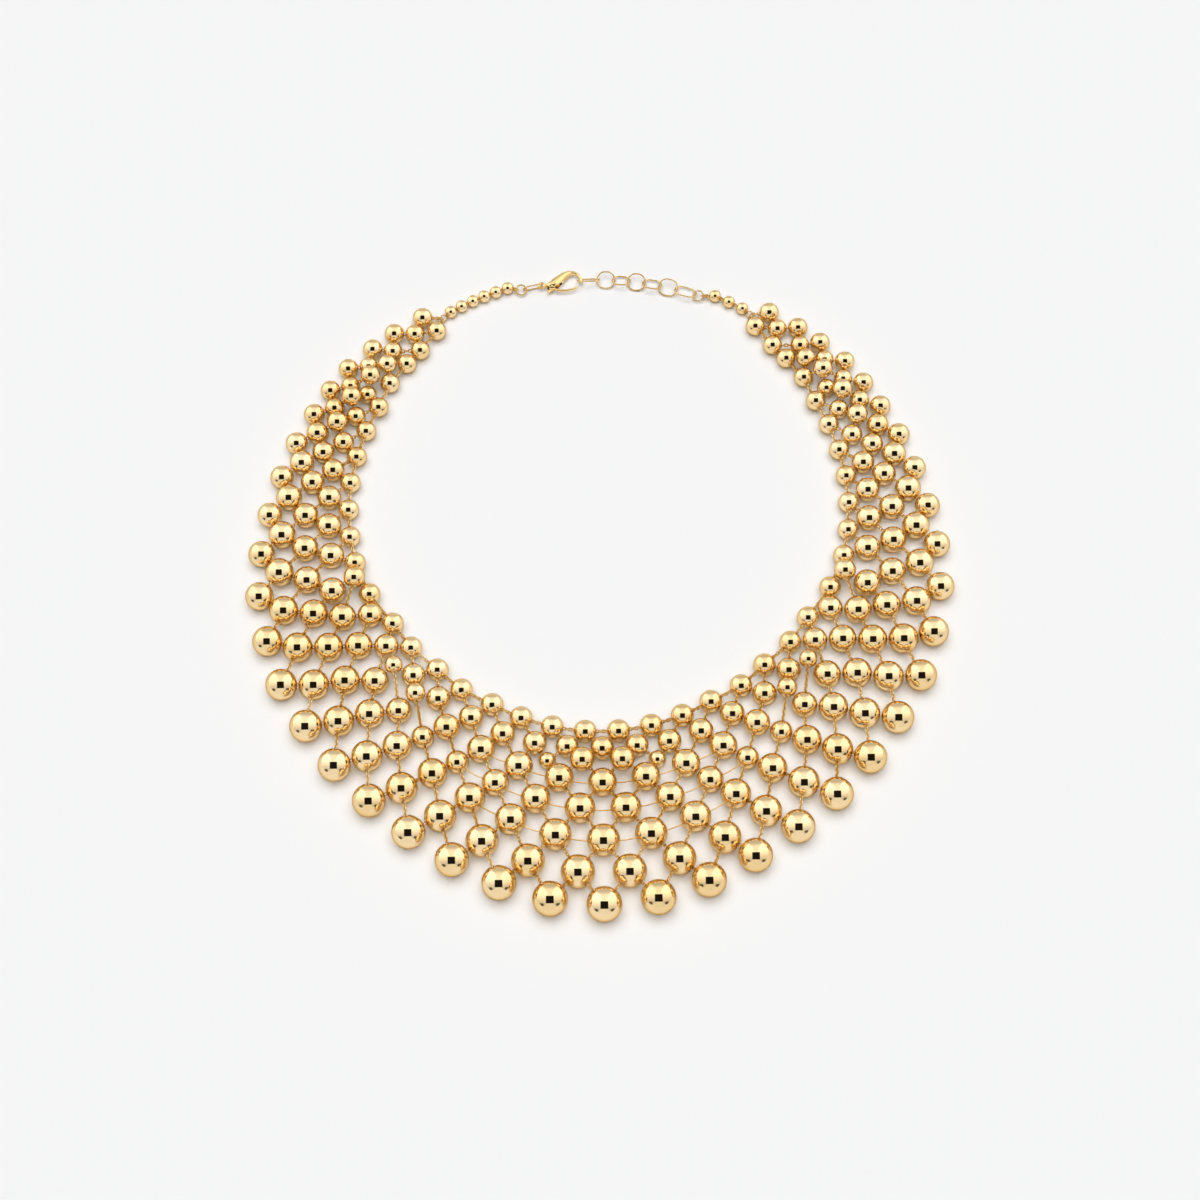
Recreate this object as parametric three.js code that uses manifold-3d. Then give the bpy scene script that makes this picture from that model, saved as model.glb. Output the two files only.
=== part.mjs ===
// Bib necklace: a diamond net of hollow gold beads, two beaded straps, a lobster clasp and an
// extender chain, lying flat and fastened. Millimetres, +Z up, front of the bib towards -Y.
import * as THREE from 'three';
import { mergeVertices } from 'three/addons/utils/BufferGeometryUtils.js';
import Module from 'manifold-3d';

const wasm = await Module();
wasm.setup();

// ---- Driving dimensions -------------------------------------------------------------------
// Centre of the neck circle, which puts the whole box's centre at the origin.
const NECK_CENTRE_X = 0.18;
const NECK_CENTRE_Y = 23.86;
const BEAD_GAP = 0.35;          // smallest clearance between two beads of the net
const SETTLE_PASSES = 60;       // more than the net needs to settle
const SMALLEST_PUSH = 0.001;    // an overlap that is too small to matter
const THREAD_RADIUS = 0.45;     // the fine cable chain that carries the beads
const STRAP_BEAD = 3.8;         // diameter of a strap bead
const STRAP_RADIUS = 83.4;      // distance of the strap beads from the neck centre
const CHAIN_RADIUS = 81.6;      // distance of the extender chain from the neck centre
const CHAIN_HEIGHT = 1.6;       // height of the extender chain's axis and of the clasp's mid plane
const LINK_WIRE = 0.45;         // diameter of the link wire
const LINK_GAP = 0.3;           // clearance between two linked rings
const STRAP_RING_WIRE = 0.5;    // diameter of the jump rings' wire
const CLASP_EYE_PLACE = -16.8;  // place of the clasp's eye along the chain, from the middle of the back
const LEVER_THICKNESS = 0.9;
const LEVER_SLOT = 1.5;         // height of the slot that the lever turns in

// ---- Bead rows ----------------------------------------------------------------------------
// Rows run round the neck, from row 1 at the neck edge to row 8 at the outer edge. Beads are
// numbered from the front centre: whole numbers in even rows and halves in odd ones. Each
// station gives the angle from the front, the distance from the neck centre, the bead's
// diameter and its lift off the surface. The left half mirrors the right.
const BEAD_ROWS = [
  { row: 8, first: 0, last: 20, stations: [
    { index: 0, angle: 0, radius: 128.6, diameter: 10.0, lift: 0 },
    { index: 4, angle: 27.2, radius: 119.3, diameter: 9.6, lift: 0 },
    { index: 8, angle: 56.7, radius: 108.3, diameter: 9.2, lift: 0 },
    { index: 12, angle: 88.2, radius: 97.7, diameter: 7.4, lift: 0 },
    { index: 14, angle: 103.7, radius: 92.7, diameter: 6.7, lift: 0 },
    { index: 16, angle: 116.3, radius: 90.2, diameter: 6.1, lift: 0 },
    { index: 20, angle: 141.1, radius: 85.4, diameter: 6.1, lift: 0 }] },
  { row: 7, first: 0.5, last: 19.5, stations: [
    { index: 0, angle: 0, radius: 119.2, diameter: 9.6, lift: 0 },
    { index: 4, angle: 27.9, radius: 109.7, diameter: 9.1, lift: 0 },
    { index: 8, angle: 57.8, radius: 99.8, diameter: 8.8, lift: 0 },
    { index: 12, angle: 87.7, radius: 92.8, diameter: 8.0, lift: 0 },
    { index: 14, angle: 103.5, radius: 88.5, diameter: 7.1, lift: 0 },
    { index: 16, angle: 116.5, radius: 86.4, diameter: 5.9, lift: 0 },
    { index: 20, angle: 140, radius: 82.3, diameter: 5.9, lift: 0 }] },
  { row: 6, first: 0, last: 18, stations: [
    { index: 0, angle: 0, radius: 109.3, diameter: 9.3, lift: 0 },
    { index: 4, angle: 28.6, radius: 99.9, diameter: 8.5, lift: 0 },
    { index: 8, angle: 59.0, radius: 91.8, diameter: 8.5, lift: 0 },
    { index: 12, angle: 88.1, radius: 86.7, diameter: 7.6, lift: 0 },
    { index: 14, angle: 103.6, radius: 84.7, diameter: 6.7, lift: 0 },
    { index: 16, angle: 117.0, radius: 82.9, diameter: 6.1, lift: 1 },
    { index: 18, angle: 127.5, radius: 81.6, diameter: 5.8, lift: 1 }] },
  { row: 5, first: 0.5, last: 16.5, stations: [
    { index: 0, angle: 0, radius: 99.8, diameter: 8.8, lift: 0 },
    { index: 2, angle: 14.8, radius: 97.0, diameter: 8.2, lift: 0 },
    { index: 4, angle: 29.2, radius: 91.0, diameter: 6.4, lift: 0 },
    { index: 6, angle: 44.5, radius: 86.6, diameter: 7.8, lift: 0 },
    { index: 8, angle: 60.2, radius: 84.6, diameter: 8.1, lift: 0 },
    { index: 12, angle: 89.0, radius: 80.8, diameter: 7.4, lift: 0 },
    { index: 16, angle: 116.4, radius: 80.8, diameter: 5.7, lift: 0 }] },
  { row: 4, first: 0, last: 6, stations: [
    { index: 0, angle: 0, radius: 91.4, diameter: 8.2, lift: 0 },
    { index: 2, angle: 15.6, radius: 89.4, diameter: 8.2, lift: 0 },
    { index: 4, angle: 31.8, radius: 87.3, diameter: 7.6, lift: 0 },
    { index: 5, angle: 40.1, radius: 84.5, diameter: 5.8, lift: 1.5 },
    { index: 6, angle: 47.2, radius: 82.5, diameter: 5.3, lift: 1.5 }] },
  { row: 3, first: 0.5, last: 1.5, stations: [
    { index: 0.5, angle: 3.9, radius: 85.0, diameter: 7.0, lift: 2.2 },
    { index: 1.5, angle: 10.6, radius: 85.2, diameter: 5.0, lift: 0 }] },
  { row: 2, first: 0, last: 9, stations: [
    { index: 0, angle: 0, radius: 80.5, diameter: 6.8, lift: 0 },
    { index: 1, angle: 7.0, radius: 80.4, diameter: 6.6, lift: 0 },
    { index: 3, angle: 20.7, radius: 81.1, diameter: 7.2, lift: 0 },
    { index: 6, angle: 44.9, radius: 78.8, diameter: 7.0, lift: 0 },
    { index: 8, angle: 61.6, radius: 78.4, diameter: 7.3, lift: 0 },
    { index: 9, angle: 70.8, radius: 78.6, diameter: 6.4, lift: 1.5 }] },
  { row: 1, first: 0.5, last: 19.5, stations: [
    { index: 0, angle: 0, radius: 75.4, diameter: 6.6, lift: 0 },
    { index: 4, angle: 29.5, radius: 73.8, diameter: 6.6, lift: 0 },
    { index: 8, angle: 62.4, radius: 73.8, diameter: 6.4, lift: 0 },
    { index: 10, angle: 78.8, radius: 75.2, diameter: 6.3, lift: 0 },
    { index: 12, angle: 93.3, radius: 75.5, diameter: 6.2, lift: 0 },
    { index: 16, angle: 121.5, radius: 76.8, diameter: 6.0, lift: 0 },
    { index: 20, angle: 144.6, radius: 80.5, diameter: 5.9, lift: 0 }] },
];

// The beads on the straps, by their angle from the middle of the back, left negative.
const LEFT_STRAP_ANGLES = [-32.7, -30.0, -27.3, -24.6, -21.9, -19.2];
const RIGHT_STRAP_ANGLES = [33.1, 29.8, 26.5];

// The extender's links from the clasp to the right strap: half length and half width of the
// wire's centre line, and the tilt about the chain's axis.
const EXTENDER_LINKS = [
  { name: 'extender_link_1', halfLength: 3.4, halfWidth: 1.9, tilt: -45 },
  { name: 'extender_link_2', halfLength: 2.8, halfWidth: 2.6, tilt: 25 },
  { name: 'extender_link_3', halfLength: 2.75, halfWidth: 2.2, tilt: -20 },
  { name: 'extender_link_4', halfLength: 2.8, halfWidth: 2.6, tilt: 25 },
  { name: 'extender_link_5', halfLength: 2.9, halfWidth: 2.2, tilt: -20 },
  { name: 'extender_link_6', halfLength: 3.0, halfWidth: 2.6, tilt: 25 },
  { name: 'extender_link_7', halfLength: 3.4, halfWidth: 2.2, tilt: -20 },
  { name: 'end_ring', halfLength: 1.6, halfWidth: 1.6, tilt: 25 },
];
const FIRST_LINK_PLACE = -2.15;  // place of the first link's centre along the chain

// ---- Materials ----------------------------------------------------------------------------
const beadGold = new THREE.MeshStandardMaterial({ color: 0xf0c873, roughness: 0.08, metalness: 1 });
const wireGold = new THREE.MeshStandardMaterial({ color: 0xe6b85c, roughness: 0.18, metalness: 1 });

// ---- Where the beads lie ------------------------------------------------------------------
const STATION_VALUES = ['angle', 'radius', 'diameter', 'lift'];

// A row's values at any index: a cubic through its stations with the mean slope at each.
function valuesAt(stations, index) {
  const rows = [...stations];
  if (rows[0].index === 0) {
    rows.unshift({ ...rows[1], index: -rows[1].index, angle: -rows[1].angle });
  }
  let k = 0;
  while (k < rows.length - 2 && index > rows[k + 1].index) k += 1;
  const slope = (j, name) => {
    const before = rows[Math.max(j - 1, 0)];
    const after = rows[Math.min(j + 1, rows.length - 1)];
    return (after[name] - before[name]) / (after.index - before.index);
  };
  const span = rows[k + 1].index - rows[k].index;
  const u = (index - rows[k].index) / span;
  const values = {};
  for (const name of STATION_VALUES) {
    values[name] = rows[k][name] * (2 * u ** 3 - 3 * u ** 2 + 1)
      + slope(k, name) * span * (u ** 3 - 2 * u ** 2 + u)
      + rows[k + 1][name] * (3 * u ** 2 - 2 * u ** 3)
      + slope(k + 1, name) * span * (u ** 3 - u ** 2);
  }
  return values;
}

// A point at an angle from the front, seen from the neck centre.
function aroundNeck(angle, radius, z) {
  const turn = THREE.MathUtils.degToRad(angle);
  return new THREE.Vector3(radius * Math.sin(turn), -radius * Math.cos(turn), z);
}

const beadName = (row, index) => `${row}:${index}`;

function layBeads() {
  const beads = new Map();
  for (const { row, first, last, stations } of BEAD_ROWS) {
    for (let index = first; index <= last; index += 1) {
      const { angle, radius, diameter, lift } = valuesAt(stations, index);
      for (const side of index === 0 ? [1] : [1, -1]) {
        const place = aroundNeck(angle * side, radius, diameter / 2 + Math.max(lift, 0));
        beads.set(beadName(row, index * side), { place, size: diameter / 2 });
      }
    }
  }
  return beads;
}

// Beads that would share a place push each other apart, and none goes below the surface.
function settle(beads) {
  const all = [...beads.values()];
  const push = new THREE.Vector3();
  for (let pass = 0; pass < SETTLE_PASSES; pass += 1) {
    all.forEach((bead, i) => {
      for (const other of all.slice(i + 1)) {
        push.subVectors(other.place, bead.place);
        const overlap = bead.size + other.size + BEAD_GAP - push.length();
        if (overlap > SMALLEST_PUSH) {
          push.setLength(overlap / 2);
          bead.place.sub(push);
          other.place.add(push);
        }
      }
    });
    for (const bead of all) bead.place.z = Math.max(bead.place.z, bead.size);
  }
}

// ---- Which beads share a string -----------------------------------------------------------
// A string starts at an outer bead and runs inwards on one slant of the net, half a place
// per row. Where the net narrows, the inner rows end and the string goes on to the neck edge.
function stringBeads(start, beads) {
  const path = [];
  const add = (row, index) => {
    if (beads.has(beadName(row, index))) path.push(beadName(row, index));
  };
  add(8, start);
  add(7, start - 0.5);
  add(6, start - 1);
  add(5, start - 1.5);
  const inner = start - 2;
  if (Math.abs(inner) <= 6) {
    add(4, inner);
    if (inner >= 2) addNeckPair(inner, add);
    else if (inner >= -1) addFrontTriple(inner - 0.5, add);
    else if (inner > -6) addNeckPair(inner - 1, add);
  } else if (Math.abs(inner) <= 9) {
    addNeckPair(inner, add);
  } else if (start === 20) {
    add(1, 18.5);
    add(1, 17.5);
  } else if (start <= -16) {
    add(1, start - 0.5);
  } else if (start !== -8 && start !== -15) {
    add(1, inner - Math.sign(inner) * 0.5);
  }
  return path;
}

// The last two beads of a string: one in row 2 and one at the neck edge.
function addNeckPair(index, add) {
  add(2, index);
  add(1, index - 0.5);
}

// The last three beads of a string at the front centre, where the net has all eight rows.
function addFrontTriple(index, add) {
  add(3, index);
  addNeckPair(index - 0.5, add);
}

// ---- Solids -------------------------------------------------------------------------------
// A closed skin over rings of points, all with the same number of points.
function skin(rings) {
  const sides = rings[0].length;
  const points = rings.flat();
  const faces = [];
  for (let r = 0; r < rings.length - 1; r += 1) {
    for (let s = 0; s < sides; s += 1) {
      const a = r * sides + s;
      const b = r * sides + ((s + 1) % sides);
      faces.push(a, a + sides, b, b, a + sides, b + sides);
    }
  }
  const lastRing = (rings.length - 1) * sides;
  for (let s = 1; s < sides - 1; s += 1) {
    faces.push(0, s, s + 1);
    faces.push(lastRing, lastRing + s + 1, lastRing + s);
  }
  const geometry = new THREE.BufferGeometry();
  const numbers = points.flatMap((point) => point.toArray());
  geometry.setAttribute('position', new THREE.Float32BufferAttribute(numbers, 3));
  geometry.setIndex(faces);
  return geometry;
}

// A six-sided ring that stands upright across a level direction, with a flat below.
const RING_OUTLINE = [
  { across: 0.93, up: 0 }, { across: 0.42, up: 1 }, { across: -0.42, up: 1 },
  { across: -0.93, up: 0 }, { across: -0.42, up: -1 }, { across: 0.42, up: -1 }];

function uprightRing(centre, direction, size, height) {
  const across = new THREE.Vector3(direction.y, -direction.x, 0);
  return RING_OUTLINE.map((corner) => centre.clone()
    .addScaledVector(across, corner.across * size)
    .add(new THREE.Vector3(0, 0, corner.up * size * height)));
}

// A string of beads as one solid: each bead a six-sided barrel, and the chain between them.
const BARREL_HALF = 0.38;       // half length of a barrel's full-size part, in bead radii
const BARREL_END = 0.95;        // where the chain leaves a bead, in bead radii
const RAISED_HEIGHT = 0.9;      // half height of a barrel that lies on others; a resting one is full height
const THREAD_ROOM = 0.2;        // least length of chain between two barrels, in millimetres
const TOUCHES_TABLE = 0.01;     // a bead this close to the surface rests on it

function beadString(beads) {
  const level = (a, b) => new THREE.Vector3().subVectors(b.place, a.place).setZ(0).normalize();
  const rings = [];
  beads.forEach((bead, i) => {
    const before = beads[i - 1];
    const after = beads[i + 1];
    const direction = new THREE.Vector3();
    if (before) direction.add(level(before, bead));
    if (after) direction.add(level(bead, after));
    direction.normalize();
    const reach = (other) => {
      if (!other) return BARREL_END;
      const room = bead.place.distanceTo(other.place) - THREAD_ROOM;
      return Math.min(BARREL_END, room / (bead.size + other.size));
    };
    const height = bead.place.z < bead.size + TOUCHES_TABLE ? 1 : RAISED_HEIGHT;
    const ringAt = (along, size) => uprightRing(
      bead.place.clone().addScaledVector(direction, along * bead.size), direction, size, height);
    rings.push(ringAt(-reach(before), THREAD_RADIUS));
    rings.push(ringAt(-BARREL_HALF, bead.size));
    rings.push(ringAt(BARREL_HALF, bead.size));
    rings.push(ringAt(reach(after), THREAD_RADIUS));
  });
  return skin(rings);
}

function toManifold(geometry) {
  const bare = geometry.clone();
  bare.deleteAttribute('normal');
  bare.deleteAttribute('uv');
  const merged = mergeVertices(bare, 1e-4);
  return new wasm.Manifold(new wasm.Mesh({
    numProp: 3,
    vertProperties: Float32Array.from(merged.attributes.position.array),
    triVerts: Uint32Array.from(merged.index.array),
  }));
}

function toGeometry(manifold) {
  const mesh = manifold.getMesh();
  const geometry = new THREE.BufferGeometry();
  geometry.setAttribute('position', new THREE.Float32BufferAttribute(mesh.vertProperties, 3));
  geometry.setIndex(Array.from(mesh.triVerts));
  return geometry;
}

const WIRE_SIDES = 6;
const RING_SIDES = 14;

// A wire ring, stretched along x, lying in the xy plane before it is tilted about x.
function wireRing(halfLength, halfWidth, wire, tilt) {
  const ring = new THREE.TorusGeometry(halfLength, wire / 2, WIRE_SIDES, RING_SIDES);
  const place = ring.attributes.position;
  for (let i = 0; i < place.count; i += 1) {
    const x = place.getX(i);
    const y = place.getY(i);
    const fromCentre = Math.hypot(x, y);
    const turn = Math.atan2(y, x);
    const outwards = fromCentre - halfLength;
    place.setXY(i, (halfLength + outwards) * Math.cos(turn), (halfWidth + outwards) * Math.sin(turn));
  }
  ring.rotateX(THREE.MathUtils.degToRad(tilt));
  return ring;
}

// A bar through stations on its path, each with its half width across and half height.
function shapedBar(stations, sides = 8) {
  const rings = stations.map((station, i) => {
    const before = stations[Math.max(i - 1, 0)];
    const after = stations[Math.min(i + 1, stations.length - 1)];
    const direction = new THREE.Vector2(after.x - before.x, after.y - before.y).normalize();
    return Array.from({ length: sides }, (_, s) => {
      const turn = (2 * Math.PI * (s + 0.5)) / sides;
      const across = Math.cos(turn) * station.width;
      return new THREE.Vector3(
        station.x + direction.y * across,
        station.y - direction.x * across,
        Math.sin(turn) * station.height);
    });
  });
  return skin(rings);
}

// ---- Lobster clasp, in its own frame: eye at the origin, nose towards +x, lever side -y ------
const CLASP_EYE = { ring: 0.95, wire: 0.64 };
const CLASP_SLOT = { x: 4.8, y: -2.4, length: 7, width: 4.4 };
const PIN_HEIGHT = 2.2;
const CLASP_HOOK = [
  { x: 0.9, y: -0.2, width: 0.45, height: 0.45 },
  { x: 2.0, y: -0.8, width: 1.1, height: 1.25 },
  { x: 3.4, y: -0.8, width: 1.7, height: 1.5 },
  { x: 5.2, y: 0.4, width: 1.7, height: 1.5 },
  { x: 7.2, y: 1.9, width: 1.2, height: 1.2 },
  { x: 9.2, y: 2.7, width: 0.85, height: 0.9 },
  { x: 11.0, y: 2.3, width: 0.55, height: 0.6 },
  { x: 12.1, y: 1.0, width: 0.42, height: 0.45 },
  { x: 12.35, y: -0.5, width: 0.4, height: 0.42 },
  { x: 12.2, y: -1.9, width: 0.42, height: 0.5 },
];
const LEVER_PIVOT = { x: 2.9, y: -1.5, pin: 0.3, bore: 0.6, eye: 1.0 };
const LEVER_BAR = [
  { x: 3.3, y: -2.1, width: 0.5, height: LEVER_THICKNESS / 2 },
  { x: 4.6, y: -3.1, width: 0.4, height: LEVER_THICKNESS / 2 },
  { x: 7.0, y: -3.7, width: 0.36, height: LEVER_THICKNESS / 2 },
  { x: 9.3, y: -3.6, width: 0.36, height: LEVER_THICKNESS / 2 },
  { x: 11.0, y: -2.9, width: 0.34, height: LEVER_THICKNESS / 2 },
];
const LEVER_TAB = [
  { x: 2.6, y: -2.0, width: 0.4, height: LEVER_THICKNESS / 2 },
  { x: 1.6, y: -2.9, width: 0.5, height: LEVER_THICKNESS / 2 },
  { x: 1.3, y: -3.2, width: 0.35, height: LEVER_THICKNESS / 2 },
];

// An upright cylinder at the lever's pivot.
function pivotCylinder(radius, height) {
  const cylinder = new THREE.CylinderGeometry(radius, radius, height, 12);
  cylinder.rotateX(Math.PI / 2);
  cylinder.translate(LEVER_PIVOT.x, LEVER_PIVOT.y, 0);
  return toManifold(cylinder);
}

function claspBody() {
  const eye = new THREE.TorusGeometry(CLASP_EYE.ring, CLASP_EYE.wire / 2, 6, 12);
  const slot = new THREE.BoxGeometry(CLASP_SLOT.length, CLASP_SLOT.width, LEVER_SLOT);
  slot.translate(CLASP_SLOT.x, CLASP_SLOT.y, 0);
  const body = toManifold(shapedBar(CLASP_HOOK))
    .subtract(toManifold(slot))
    .add(toManifold(eye))
    .add(pivotCylinder(LEVER_PIVOT.pin, PIN_HEIGHT));
  return toGeometry(body);
}

function claspLever() {
  const lever = pivotCylinder(LEVER_PIVOT.eye, LEVER_THICKNESS)
    .add(toManifold(shapedBar(LEVER_BAR)))
    .add(toManifold(shapedBar(LEVER_TAB)))
    .subtract(pivotCylinder(LEVER_PIVOT.bore, 2 * LEVER_SLOT));
  return toGeometry(lever);
}

// ---- Assembly -----------------------------------------------------------------------------
const necklace = new THREE.Group();
necklace.position.set(NECK_CENTRE_X, NECK_CENTRE_Y, 0);

function addPiece(name, geometry, material, parent = necklace) {
  const mesh = new THREE.Mesh(geometry, material);
  mesh.name = name;
  parent.add(mesh);
  return mesh;
}

// A piece of the chain at the back, placed by its distance from the middle of the back.
function addAtBack(name, geometry, material, along, radius = CHAIN_RADIUS) {
  const mesh = addPiece(name, geometry, material);
  const turn = along / radius;
  mesh.position.set(radius * Math.sin(turn), radius * Math.cos(turn), CHAIN_HEIGHT);
  mesh.rotation.z = -turn;
  return mesh;
}

function strapBead(angle) {
  const size = STRAP_BEAD / 2;
  return { place: aroundNeck(180 - angle, STRAP_RADIUS, size), size };
}

const beads = layBeads();
settle(beads);

const FIRST_STRING = -19;
const LAST_STRING = 20;
for (let start = FIRST_STRING; start <= LAST_STRING; start += 1) {
  const number = String(start - FIRST_STRING + 1).padStart(2, '0');
  const path = stringBeads(start, beads).map((name) => beads.get(name));
  addPiece(`net_string_${number}`, beadString(path), beadGold);
}

// The one short string that starts inside the net, right of the front centre.
const innerPath = [beadName(3, 1.5), beadName(2, 1), beadName(1, 0.5)].map((name) => beads.get(name));
addPiece('net_string_inner', beadString(innerPath), beadGold);

const leftStrap = [beads.get(beadName(8, -20)), ...LEFT_STRAP_ANGLES.map(strapBead)];
addPiece('strap_strand_left', beadString(leftStrap), beadGold);
const rightStrap = [beads.get(beadName(1, 19.5)), ...RIGHT_STRAP_ANGLES.map(strapBead)];
addPiece('strap_strand_right', beadString(rightStrap), beadGold);

// The left strap's jump ring lies almost flat, and an upright link joins it to the clasp.
addAtBack('strap_ring', wireRing(1.6, 1.6, STRAP_RING_WIRE, 20), wireGold, -23.5);
addAtBack('clasp_link', wireRing(2.95, 1.3, LINK_WIRE, -80), wireGold, -19.75);

let place = FIRST_LINK_PLACE;
EXTENDER_LINKS.forEach((link, i) => {
  const before = EXTENDER_LINKS[i - 1];
  if (before) place += before.halfLength + link.halfLength - LINK_WIRE - LINK_GAP;
  addAtBack(link.name, wireRing(link.halfLength, link.halfWidth, LINK_WIRE, link.tilt), wireGold, place);
});

addAtBack('clasp_body', claspBody(), wireGold, CLASP_EYE_PLACE);
addAtBack('clasp_lever', claspLever(), wireGold, CLASP_EYE_PLACE);

export default necklace;
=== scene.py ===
# %% [markdown]
# # A bib necklace of gold beads
# The real necklace is a net of hollow gold-plated beads, threaded on fine cable chain. It narrows
# into two beaded straps, and closes with a lobster clasp and a short extender chain. This lesson
# starts from the measured CAD solids and replaces each of them with a smooth, detailed piece at
# the same place, so the size never changes.

# %% Load the CAD frame
import math

import bpy
from mathutils import Matrix, Vector


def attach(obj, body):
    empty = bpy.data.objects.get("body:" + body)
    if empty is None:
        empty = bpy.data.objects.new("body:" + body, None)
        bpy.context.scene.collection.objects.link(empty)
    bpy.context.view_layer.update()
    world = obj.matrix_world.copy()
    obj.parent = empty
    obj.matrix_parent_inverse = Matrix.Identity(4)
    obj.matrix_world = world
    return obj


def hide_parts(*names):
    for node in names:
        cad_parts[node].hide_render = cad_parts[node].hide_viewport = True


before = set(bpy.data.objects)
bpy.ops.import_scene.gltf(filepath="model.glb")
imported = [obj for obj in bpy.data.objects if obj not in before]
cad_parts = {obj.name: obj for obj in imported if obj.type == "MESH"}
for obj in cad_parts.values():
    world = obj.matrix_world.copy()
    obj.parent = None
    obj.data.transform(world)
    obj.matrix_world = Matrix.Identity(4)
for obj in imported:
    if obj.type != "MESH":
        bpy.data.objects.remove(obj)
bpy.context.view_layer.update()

MM = 0.001
NEARLY_ZERO = 1e-6

# %% [markdown]
# ## Camera
# The necklace lies on a table and is seen from in front and well above. The camera looks at a
# point on the table a little in front of the neck opening, and leans by less than one degree.

# %% Place the camera
ELEVATION = math.radians(62)
AZIMUTH = math.radians(0.118)
ROLL = math.radians(-0.965)
DISTANCE = 0.8
TARGET = Vector((0.00018, -0.00714, 0))
LENS = 81.6

outwards = Vector((math.cos(ELEVATION) * math.sin(AZIMUTH),
                   -math.cos(ELEVATION) * math.cos(AZIMUTH), math.sin(ELEVATION)))
level_right = Vector((math.cos(AZIMUTH), math.sin(AZIMUTH), 0))
level_up = outwards.cross(level_right)
camera_right = level_right * math.cos(ROLL) + level_up * math.sin(ROLL)
camera_up = outwards.cross(camera_right)

bpy.ops.object.camera_add()
camera = bpy.context.object
turn = Matrix((camera_right, camera_up, outwards)).transposed().to_4x4()
camera.matrix_world = Matrix.Translation(TARGET + outwards * DISTANCE) @ turn
camera.data.lens = LENS
camera.data.sensor_width = 36
bpy.context.scene.camera = camera
bpy.context.scene.view_settings.view_transform = "Standard"
print("camera at", [round(value, 4) for value in camera.location])

# %% [markdown]
# ## Helpers for node trees
# Every finish and the studio itself are painted with a few kinds of node, so each kind gets a
# short function. A value that is a number goes into the socket, and anything else is a link.

# %% Node helpers
def fill(tree, socket, value):
    if isinstance(value, bpy.types.NodeSocket):
        tree.links.new(value, socket)
    else:
        socket.default_value = value


def maths(tree, operation, *values):
    node = tree.nodes.new("ShaderNodeMath")
    node.operation = operation
    for socket, value in zip(node.inputs, values):
        fill(tree, socket, value)
    return node.outputs[0]


def fade(tree, value, start, end, low=0.0, high=1.0):
    node = tree.nodes.new("ShaderNodeMapRange")
    node.interpolation_type = "SMOOTHSTEP"
    for name, number in (("Value", value), ("From Min", start), ("From Max", end),
                         ("To Min", low), ("To Max", high)):
        fill(tree, node.inputs[name], number)
    return node.outputs["Result"]


def along(tree, vector, axis):
    node = tree.nodes.new("ShaderNodeVectorMath")
    node.operation = "DOT_PRODUCT"
    fill(tree, node.inputs[0], vector)
    fill(tree, node.inputs[1], axis)
    return node.outputs["Value"]


def between(tree, mask, first, second):
    """first where the mask is 0 and second where it is 1."""
    node = tree.nodes.new("ShaderNodeMix")
    for number, value in ((0, mask), (2, first), (3, second)):
        fill(tree, node.inputs[number], value)
    return node.outputs[0]


print("node helpers ready")

# %% [markdown]
# ## Studio
# Polished gold has almost no colour of its own pattern: what it shows is the room. The beads
# show two tall soft boxes, left and right, a small dark card between them and a dim ceiling
# behind. The room is painted on the world, laid out as a mirror ball at the table would show it:
# "across" and "up" run from -1 to 1 over such a ball. Matt surfaces get a white light from above
# instead, which leaves only short, soft contact shadows on the table. Light strengths are
# relative to white paper, which shows as 0.94.

# %% Paint the room on the world
LIGHT_RIGHT = (1, 0, 0)          # the room's own axes: it faces the viewer, 62 degrees up
LIGHT_UP = (0, 0.883, 0.469)
LIGHT_VIEW = (0, -0.469, 0.883)
SMALLEST = 0.0001                # keeps the division safe where a direction faces straight away
OVERHEAD_LIGHT = 3.3
LOW_LIGHT = 0.2
PANEL_EDGE = (0.75, 0.97)        # height on the unit sky where the overhead panel fades in
WALL, CEILING, NEAR_WALL = 1.15, 0.62, 0.9
CEILING_EDGE = (0.5, 0.75)
NEAR_WALL_EDGE = (-0.05, -0.3)
SOFT_BOX = dict(centre_side=0.48, centre_up=0.12, half_side=0.36, half_up=0.55, softness=0.14)
SOFT_BOX_FADE = (-0.3, 0.48, 0.7, 1.65)   # from this height to that, from this light to that
DARK_MARK = dict(centre_side=0.45, centre_up=-0.3, half_side=0.12, half_up=0.09, softness=0.3)
MARK_LIGHT = 0.12
CARD_SIDE_EDGE = (0.235, 0.205)
CARD_UP_EDGE = (0.225, 0.195)
CARD_LIGHT = 0.012


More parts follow.
